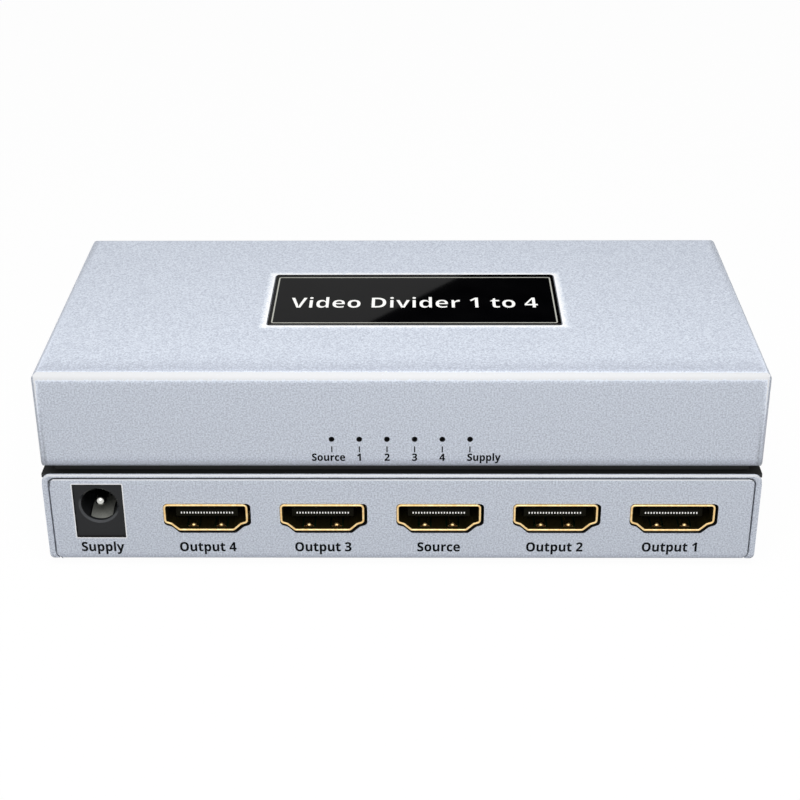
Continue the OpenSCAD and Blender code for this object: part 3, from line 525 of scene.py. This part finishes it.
tick_w = 0.2 * mm
tick_round = 0.04 * mm
tick_low = 23.1 * mm
tick_high = 24.25 * mm
lamp_legend_z = 21.4 * mm
lamp_legend_cap = 1.4 * mm
legend_shifts = [-0.6 * mm, 0, 0, 0, 0, 2.4 * mm]
for i, words in enumerate(["Source", "1", "2", "3", "4", "Supply"]):
    bpy.ops.object.select_all(action="DESELECT")
    bpy.ops.mesh.primitive_cube_add(size=1)
    tick = bpy.context.object
    tick.name = "indicator_tick_%d" % (i + 1)
    tick.scale = (tick_w, ink_t, tick_high - tick_low)
    tick.location = (lamp_mids[i].x, front_y - ink_t / 2, (tick_low + tick_high) / 2)
    bpy.ops.object.transform_apply(location=True, rotation=True, scale=True)
    ease(tick, tick_round, 2, lambda p: True)
    tick.data.materials.append(ink)
    fix(tick, "black_abs")
    legend_x = lamp_mids[i].x + legend_shifts[i]
    legend(words, "indicator_legend_%d" % (i + 1), legend_x, lamp_legend_z, lamp_legend_cap, front_y)


# Name plate: a gloss black acrylic plate let into the cover and stuck down with adhesive tape.
# A thin pale line is printed round it, and its words are plain ones in white.

# Cast acrylic, black: a mirror gloss with hardly any grain, only a faint cloudiness.
gloss_black = mottled("black_acrylic", "#020203", "#050506", 6 * mm, detail=1, Roughness=0.03, IOR=1.49)

plate_mid = (plate_low + plate_high) / 2
plate_size = plate_high - plate_low
plate_corner = 0.6 * mm
plate_edge = 0.15 * mm
bpy.ops.object.select_all(action="DESELECT")
bpy.ops.mesh.primitive_cube_add(size=1)
plate = bpy.context.object
plate.name = "gloss_name_plate"
plate.scale = plate_size
plate.location = plate_mid
bpy.ops.object.transform_apply(location=True, rotation=True, scale=True)
choose(plate, "EDGE", lambda edge: abs(edge.verts[0].co.z - edge.verts[1].co.z) > plate_size.z / 2)
bpy.ops.mesh.bevel(offset=plate_corner, segments=8, affect="EDGES")
bpy.ops.object.mode_set(mode="OBJECT")
plate.data.materials.append(gloss_black)
ease(plate, plate_edge, 3, lambda p: p.z > plate_high.z - near)
smooth(plate)
fix(plate, "gloss_plate", "name_plate")

# White and pale grey printing ink on the plate, satin and even.
white_ink = mottled("white_plate_ink", "#f2f2ef", "#fbfbf8", 0.3 * mm, Roughness=0.5)
grey_ink = mottled("pale_line_ink", "#a8a89f", "#b9b9b1", 0.3 * mm, Roughness=0.5)

border_inset = (0.67 * mm, 0.95 * mm)
border_shift = -0.5 * mm
border_size = [plate_size[i] - 2 * border_inset[i] for i in (0, 1)]
plate_top = (plate_mid.x, plate_mid.y + border_shift, plate_high.z)
border_w = 0.24 * mm
border_corner = 0.5 * mm
border = frame_line("plate_border_line", plate_top, border_size, border_w, border_corner)
border.data.materials.append(grey_ink)
fix(border, "gloss_plate")

# Painted highlight round the recess: the cover's colour fades from near-white at the plate to full silver.
recess_gap = 0.15 * mm
glow_w = 1.6 * mm
painted_plate_glow, tree, shader = surface("painted_glow_paint", Metallic=0.1, Roughness=0.5)
place = add(tree, "ShaderNodeTexCoord")
from_mid = add(tree, "ShaderNodeVectorMath", {0: place.outputs["Object"], 1: plate_mid},
               operation="SUBTRACT")
either_side = add(tree, "ShaderNodeVectorMath", {0: from_mid.outputs[0]}, operation="ABSOLUTE")
beyond = add(tree, "ShaderNodeVectorMath", {0: either_side.outputs[0], 1: plate_size / 2},
             operation="SUBTRACT")
parts = add(tree, "ShaderNodeSeparateXYZ", {0: beyond.outputs[0]})
reach = add(tree, "ShaderNodeMath", {0: parts.outputs["X"], 1: parts.outputs["Y"]}, operation="MAXIMUM")
painted_glow_mask = add(tree, "ShaderNodeMapRange", {"Value": reach.outputs[0], "From Min": recess_gap + glow_w,
                                        "From Max": recess_gap, "To Max": 0.5},
           interpolation_type="SMOOTHSTEP")
speckle = add(tree, "ShaderNodeTexNoise",
              {"Vector": place.outputs["Object"], "Scale": 1 / flake, "Detail": 1})
shine = add(tree, "ShaderNodeMath", {0: painted_glow_mask.outputs[0], 1: speckle.outputs["Fac"]}, operation="ADD")
tone = add(tree, "ShaderNodeValToRGB", {"Fac": shine.outputs[0]}, stops=[*flake_stops, (1, "#ffffff")])
tree.links.new(tone.outputs["Color"], shader.inputs["Base Color"])

glow_size = [plate_size[i] + 2 * (recess_gap + glow_w) for i in (0, 1)]
recess_top = (plate_mid.x, plate_mid.y, cover_high.z)
glow_corner = 2.0 * mm
plate_glow_ring = frame_line("painted_glow_ring", recess_top, glow_size, glow_w, glow_corner)
plate_glow_ring.data.materials.append(painted_plate_glow)
fix(plate_glow_ring, "silver_paint")

plate_cap = 4.5 * mm
plate_narrow = 0.74
plate_thinning = 0.02 * plate_cap    # the strokes lose this much at either side
plate_words_shift = -1.9 * mm
bpy.ops.object.select_all(action="DESELECT")
bpy.ops.object.text_add()
plate_words = bpy.context.object
plate_words.name = "plate_words"
plate_words.data.body = sans("Video Divider 1 to 4")
plate_words.data.align_x = "CENTER"
plate_words.data.size = plate_cap / cap_share
plate_words.data.offset = -plate_thinning
plate_words.data.extrude = ink_t / 2
plate_words.data.resolution_u = 6
bpy.ops.object.convert(target="MESH")
plate_words.scale = (plate_narrow, 1, 1)
words_y = plate_mid.y + plate_words_shift - plate_cap / 2
plate_words.location = (plate_mid.x, words_y, plate_high.z + ink_t / 2)
bpy.ops.object.transform_apply(location=True, rotation=True, scale=True)
plate_words.data.materials.append(white_ink)
fix(plate_words, "gloss_plate")


# Rubber feet: four moulded bumpers, stuck under the box near its corners.
# Each tapers a little towards the table, with a soft edge and a shallow dish underneath.

foot_rubber = mottled("moulded_foot_rubber", "#1b1b1c", "#2a2a2b", 0.25 * mm, Roughness=0.75)
feet_low, feet_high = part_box("rubber_feet")
foot_r = 4.5 * mm
foot_taper = 0.5 * mm
foot_h = feet_high.z - feet_low.z
sole_rim = 1.0 * mm    # width of the flat ring that stands on the table
dish_slope = 0.5 * mm
dish_d = 0.12 * mm
sole_round = 0.25 * mm
bpy.ops.object.select_all(action="DESELECT")
bpy.ops.mesh.primitive_cylinder_add(vertices=64, radius=foot_r, depth=foot_h, location=(0, 0, foot_h / 2))
feet = bpy.context.object
feet.name = "soft_feet"
bpy.ops.object.transform_apply(location=True, rotation=True, scale=True)
choose(feet, "FACE", lambda face: face.normal.z < -0.5)
taper = (foot_r - foot_taper) / foot_r
bpy.ops.transform.resize(value=(taper, taper, 1), center_override=(0, 0, 0))
bpy.ops.mesh.inset(thickness=sole_rim)
bpy.ops.mesh.inset(thickness=dish_slope)
bpy.ops.transform.translate(value=(0, 0, dish_d))
bpy.ops.object.mode_set(mode="OBJECT")
feet.data.materials.append(foot_rubber)
rim_at = foot_r - foot_taper
ease(feet, sole_round, 3, lambda p: p.z < near and math.hypot(p.x, p.y) > rim_at - near)
smooth(feet)


def set_in_corners(piece, low, high, inset, z):
    """Copies a round piece to the four corners of a box, as one object."""
    places = [(x, y, z) for x in (low.x + inset, high.x - inset) for y in (low.y + inset, high.y - inset)]
    model = piece.data.copy()
    piece.data.transform(Matrix.Translation(places[0]))
    for place in places[1:]:
        twin = bpy.data.objects.new(piece.name + "_twin", model.copy())
        twin.data.transform(Matrix.Translation(place))
        bpy.context.collection.objects.link(twin)
        pick(piece)
        twin.select_set(True)
        bpy.ops.object.join()


set_in_corners(feet, feet_low, feet_high, foot_r, 0)
fix(feet, "foot_rubber", "rubber_feet")


# Case screws: four zinc-plated pan-head screws, sunk in the underside.
# They hold cover, deck and box together, and each head is domed and has a cross recess.

screws_low, screws_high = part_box("case_screws")
head_r = 2.6 * mm
head_h = 1.8 * mm
shank_r = 1.5 * mm
recess_arm = 3.0 * mm
recess_w = 0.75 * mm
recess_d = 1.0 * mm
head_round = 0.8 * mm
recess_round = 0.15 * mm
screw_len = screws_high.z - screws_low.z
bpy.ops.object.select_all(action="DESELECT")
bpy.ops.mesh.primitive_cylinder_add(vertices=48, radius=head_r, depth=head_h, location=(0, 0, head_h / 2))
screws = bpy.context.object
screws.name = "pan_head_screws"
bpy.ops.object.transform_apply(location=True, rotation=True, scale=True)
choose(screws, "FACE", lambda face: face.normal.z > 0.5)
bpy.ops.mesh.inset(thickness=head_r - shank_r)
bpy.ops.mesh.extrude_region_move(TRANSFORM_OT_translate={"value": (0, 0, screw_len - head_h)})
bpy.ops.object.mode_set(mode="OBJECT")
ease(screws, head_round, 5, lambda p: p.z < near)
for turn in (0, 90):
    bpy.ops.object.select_all(action="DESELECT")
    bpy.ops.mesh.primitive_cube_add(size=1)
    arm = bpy.context.object
    arm.scale = (recess_arm, recess_w, 2 * recess_d)
    arm.rotation_euler = (0, 0, math.radians(turn))
    bpy.ops.object.transform_apply(location=True, rotation=True, scale=True)
    ease(arm, recess_round, 2, lambda p: p.z > 0)
    pick(screws)
    cut = screws.modifiers.new("cross recess", "BOOLEAN")
    cut.object = arm
    cut.operation = "DIFFERENCE"
    bpy.ops.object.modifier_apply(modifier=cut.name)
    bpy.data.objects.remove(arm)
screws.data.materials.append(zinc_steel)
smooth(screws)
set_in_corners(screws, screws_low, screws_high, head_r, screws_low.z)
fix(screws, "zinc_steel", "case_screws")


# Studio: a pale sweep under soft lamps, and a camera where the photographer stood.
# The floor is white to the camera and to polished pieces, and keeps part of the object's shadow.

def seen_directly(tree):
    """Whether a ray is the camera's own, or comes from a polished or a clear face."""
    path = add(tree, "ShaderNodeLightPath")
    seen = add(tree, "ShaderNodeMath", {0: path.outputs["Is Camera Ray"], 1: path.outputs["Is Glossy Ray"]},
               operation="MAXIMUM")
    seen = add(tree, "ShaderNodeMath", {0: seen.outputs[0], 1: path.outputs["Is Transmission Ray"]},
               operation="MAXIMUM")
    return seen.outputs[0]


shadow_share = 0.03    # how much of the object's shadow the white paper keeps
room_light = 0.24    # strength of the room's own light on the object
floor_paper, tree, shader = surface("white_paper_sweep", Base_Color=linear("#f2f2f2"), Roughness=0.9)
glow = add(tree, "ShaderNodeEmission", {"Color": linear("#ffffff"), "Strength": 1.0})
lit = add(tree, "ShaderNodeMixShader", {0: 1 - shadow_share, 1: shader.outputs[0], 2: glow.outputs[0]})
dull = add(tree, "ShaderNodeBsdfDiffuse", {"Color": linear("#606060")})
blend = add(tree, "ShaderNodeMixShader", {0: seen_directly(tree), 1: dull.outputs[0], 2: lit.outputs[0]})
tree.links.new(blend.outputs[0], tree.nodes["Material Output"].inputs["Surface"])
bpy.ops.object.select_all(action="DESELECT")
bpy.ops.mesh.primitive_plane_add(size=6)
floor = bpy.context.object
floor.name = "paper_sweep"
floor.data.materials.append(floor_paper)

world = bpy.data.worlds.new("soft_room")
bpy.context.scene.world = world
world.use_nodes = True
tree = world.node_tree
level = add(tree, "ShaderNodeMapRange", {"Value": seen_directly(tree), "To Min": room_light, "To Max": 1.0})
room = tree.nodes["Background"]
room.inputs["Color"].default_value = linear("#ffffff")
tree.links.new(level.outputs[0], room.inputs["Strength"])


def softbox(name, place, aim, size, power):
    """A square soft lamp at a place, turned towards a point."""
    lamp = bpy.data.lights.new(name, "AREA")
    lamp.size = size
    lamp.energy = power
    holder = bpy.data.objects.new(name, lamp)
    holder.location = place
    holder.rotation_euler = (Vector(aim) - Vector(place)).to_track_quat("-Z", "Y").to_euler()
    bpy.context.collection.objects.link(holder)
    return holder


middle = (0, 0, 0.02)
overhead = softbox("overhead_softbox", (0, -0.15, 0.33), middle, 0.26, 1.18)
overhead.visible_glossy = False    # a large diffuser keeps its glare off the edges
softbox("front_softbox", (0, -0.85, 0.50), middle, 0.5, 2.9)

# Two cards hang behind the object, out of the picture, and are seen only in polished surfaces.
# The grey one fills the plate's reflection, and the black one's slanting edge crosses it.
card_y = 0.30
card_low, card_high = 0.02, 0.40
card_reach = 0.30
edge_low = 0.276    # where the slanting edge meets the black card's lower side
edge_high = -0.410    # and its upper side


def card(name, corners, code):
    """A flat card through four corners, seen only in reflections."""
    mesh = bpy.data.meshes.new(name)
    mesh.from_pydata(corners, [], [(0, 1, 2, 3)])
    piece = bpy.data.objects.new(name, mesh)
    bpy.context.collection.objects.link(piece)
    shade, tree, shader = surface(name)
    glow = add(tree, "ShaderNodeEmission", {"Color": linear(code), "Strength": 1.0})
    tree.links.new(glow.outputs[0], tree.nodes["Material Output"].inputs["Surface"])
    mesh.materials.append(shade)
    piece.visible_camera = False
    piece.visible_diffuse = False
    piece.visible_shadow = False


far_y = card_y + 0.01
card("grey_card", [(-card_reach, far_y, card_low), (card_reach, far_y, card_low),
                   (card_reach, far_y, card_high), (-card_reach, far_y, card_high)], "#7a7a7a")
card("black_card", [(edge_low, card_y, card_low), (card_reach, card_y, card_low),
                    (card_reach, card_y, card_high), (edge_high, card_y, card_high)], "#050505")

# The camera's place, turn and lens come from the case's edges in the photograph, 800 pixels square.
image_px = 800
focal_px = 1636.3
pitch = math.radians(27.489)
yaw = math.radians(-0.687)
roll = math.radians(-0.321)
ahead = Vector((math.sin(yaw) * math.cos(pitch), math.cos(yaw) * math.cos(pitch), -math.sin(pitch)))
right = Vector((math.cos(yaw), -math.sin(yaw), 0))
up = right.cross(ahead)
turned_right = math.cos(roll) * right + math.sin(roll) * up
turned_up = math.cos(roll) * up - math.sin(roll) * right
lens = bpy.data.cameras.new("studio_camera")
lens.sensor_width = 36
lens.lens = lens.sensor_width * focal_px / image_px
lens.clip_start = 0.01
camera = bpy.data.objects.new("studio_camera", lens)
turn = Matrix((turned_right, turned_up, -ahead)).transposed().to_4x4()
stand = Vector((2.846, -275.643, 160.761)) * mm
camera.matrix_world = Matrix.Translation(stand) @ turn
bpy.context.collection.objects.link(camera)
bpy.context.scene.camera = camera
bpy.context.scene.view_settings.view_transform = "Standard"
